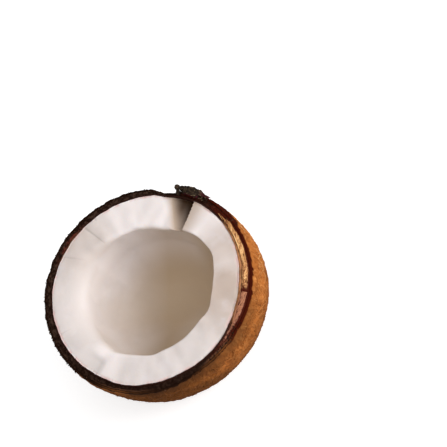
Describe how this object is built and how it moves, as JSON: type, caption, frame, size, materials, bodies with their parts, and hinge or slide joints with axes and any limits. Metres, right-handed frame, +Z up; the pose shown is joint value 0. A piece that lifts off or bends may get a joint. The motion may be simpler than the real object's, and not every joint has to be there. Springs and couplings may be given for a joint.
{
  "type": "half coconut",
  "caption": "Half of an opened ripe coconut lying on its round back, cut face up: thick white flesh round a deep hollow, brown skin, dark shell, fibrous coat and a tuft of husk on the edge.",
  "frame": {"origin": "middle of the small flat spot at the pole of the round back, on which the half rests", "axes": "+Z up, out of the flat spot towards the cut face and square to it; the tuft of husk is on the +X side of the edge, and the edge dips lowest towards +X and -Y"},
  "size_m": [0.1072, 0.1102, 0.0635],
  "materials": {
    "flesh": null,
    "brown_skin": "thin matt reddish-brown seed skin",
    "shell": "hard near-black shell, rough where it broke",
    "husk_coat": "matted orange-brown coir fibre",
    "husk_tuft": "rough dark clump of husk fibre"
  },
  "bodies": {
    "root": {"flesh": "flesh", "brown_skin": "brown_skin", "shell": "shell", "husk_coat": "husk_coat", "husk_tuft": "husk_tuft"}
  },
  "joints": []
}
